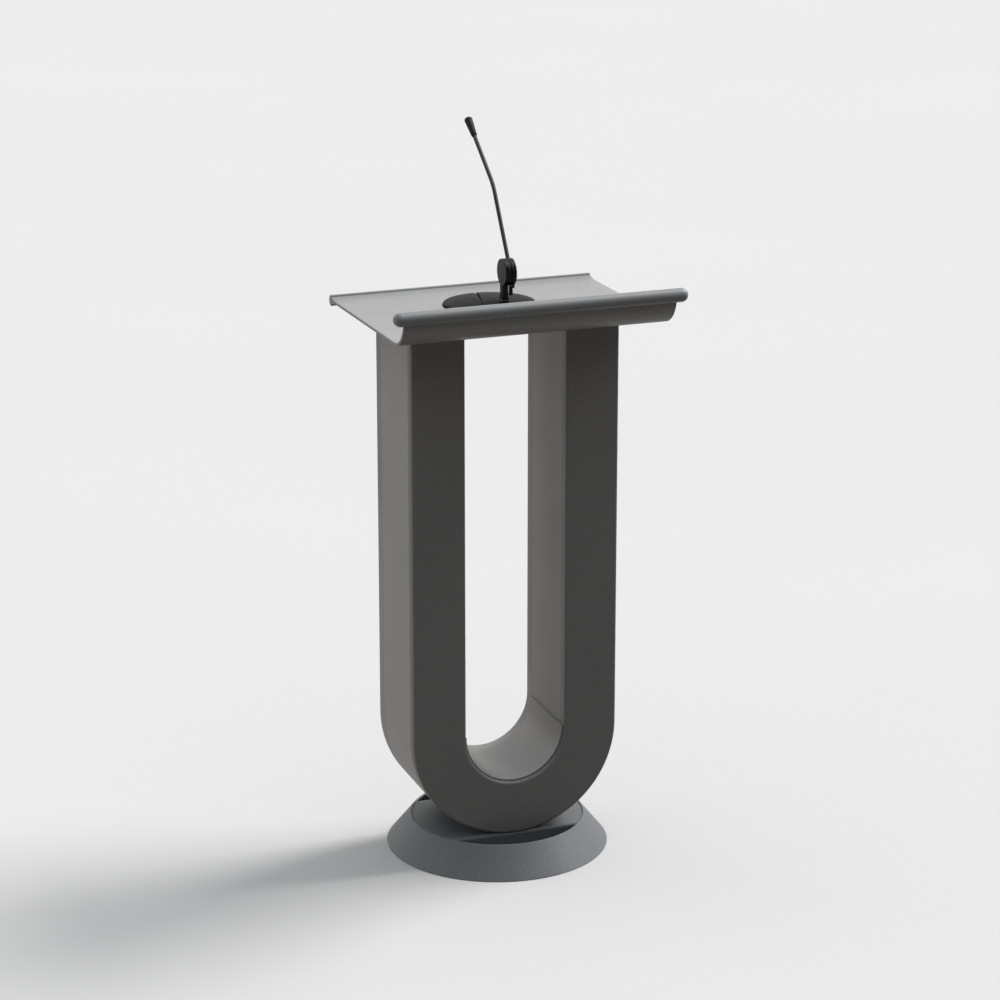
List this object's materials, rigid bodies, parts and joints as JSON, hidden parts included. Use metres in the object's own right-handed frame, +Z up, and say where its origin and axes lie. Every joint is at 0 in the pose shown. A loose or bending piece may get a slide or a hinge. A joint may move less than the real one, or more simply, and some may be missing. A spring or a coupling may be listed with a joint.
{
  "type": "lectern stand",
  "caption": "Lectern with a U-shaped column on a conical base, a tilted desk with a curled lip and tube rail, and a gooseneck microphone.",
  "frame": {"origin": "middle of the round base, on the floor", "axes": "+X to the right seen from the audience, +Y towards the speaker, +Z up"},
  "size_m": [0.5524, 0.485, 1.3543],
  "materials": {
    "satin_paint": "satin metallic grey paint",
    "panel_paint": "fibreboard panel in satin metallic grey paint",
    "skin_paint": "bent aluminium sheet in satin metallic grey paint",
    "sheet_paint": "aluminium sheet in satin metallic grey paint",
    "rail_paint": "satin metallic grey paint",
    "steel": "dark primer on steel",
    "fastener": "zinc-plated steel",
    "rubber": "matt black rubber",
    "mic_plastic": "satin black plastic",
    "mic_metal": "satin black on metal",
    "neck_finish": "dark grey spiral-wound metal hose",
    "capsule_finish": "matt dark grey metal",
    "dark_trim": "black plastic",
    "circuit": "green board"
  },
  "bodies": {
    "stand": {"floor_pad": "rubber", "base_weight": "steel", "base_skirt": "satin_paint", "base_bridge": "satin_paint", "column_bolts": "fastener", "bolt_spacers": "fastener", "column_front_panel": "panel_paint", "column_rear_panel": "panel_paint", "column_outer_skin": "skin_paint", "column_inner_skin": "skin_paint", "bend_liner": "skin_paint", "spine_bend": "steel", "spine_leg_left": "steel", "spine_leg_right": "steel", "leg_cap_left": "steel", "leg_cap_right": "steel", "desk_screws": "fastener", "desk_panel": "sheet_paint", "paper_stop": "sheet_paint", "rail_tube": "rail_paint", "rail_cap_left": "rail_paint", "rail_cap_right": "rail_paint", "cable_grommet": "rubber", "mic_base_pad": "rubber", "mic_base_plate": "mic_metal", "mic_base_housing": "mic_plastic", "talk_spring": "fastener", "talk_switch": "dark_trim", "mic_circuit_board": "circuit", "mic_stem": "mic_metal", "fixed_knuckle": "mic_metal", "set_screw": "fastener", "friction_washer": "dark_trim", "pivot_pin": "fastener"},
    "talk_key": {"talk_plate": "mic_plastic"},
    "lever": {"clamp_lever": "mic_metal", "lever_nut": "mic_metal"},
    "neck_base": {"moving_knuckle": "mic_metal", "gooseneck_lower": "neck_finish"},
    "neck_bend": {"gooseneck_middle": "neck_finish"},
    "neck_end": {"gooseneck_upper": "neck_finish", "capsule_collar": "dark_trim", "capsule_body": "capsule_finish", "capsule_grille": "capsule_finish", "capsule_element": "dark_trim"}
  },
  "joints": [
    {"name": "mic_tilt", "type": "hinge", "parent": "stand", "child": "neck_base", "pos_m": [0.027, 0.00206, 1.10997], "axis": [1, 0, 0], "range_deg": [-30, 70]},
    {"name": "neck_pitch", "type": "hinge", "parent": "neck_base", "child": "neck_bend", "pos_m": [0.027, 0.08648, 1.23948], "axis": [1, 0, 0], "range_deg": [-25, 40]},
    {"name": "neck_sway", "type": "hinge", "parent": "neck_bend", "child": "neck_end", "pos_m": [0.027, 0.1075, 1.26124], "axis": [0, 0.575, -0.8181], "range_deg": [-40, 40]},
    {"name": "lever_turn", "type": "hinge", "parent": "stand", "child": "lever", "pos_m": [0.0323, 0.00206, 1.10997], "axis": [1, 0, 0], "range_deg": [-90, 0]},
    {"name": "talk_press", "type": "slide", "parent": "stand", "child": "talk_key", "axis": [0, 0, -1], "range_m": [0, 0.0015], "stiffness_N_per_m": 1500, "springref_m": -0.0006, "deforming": ["talk_spring"]}
  ]
}
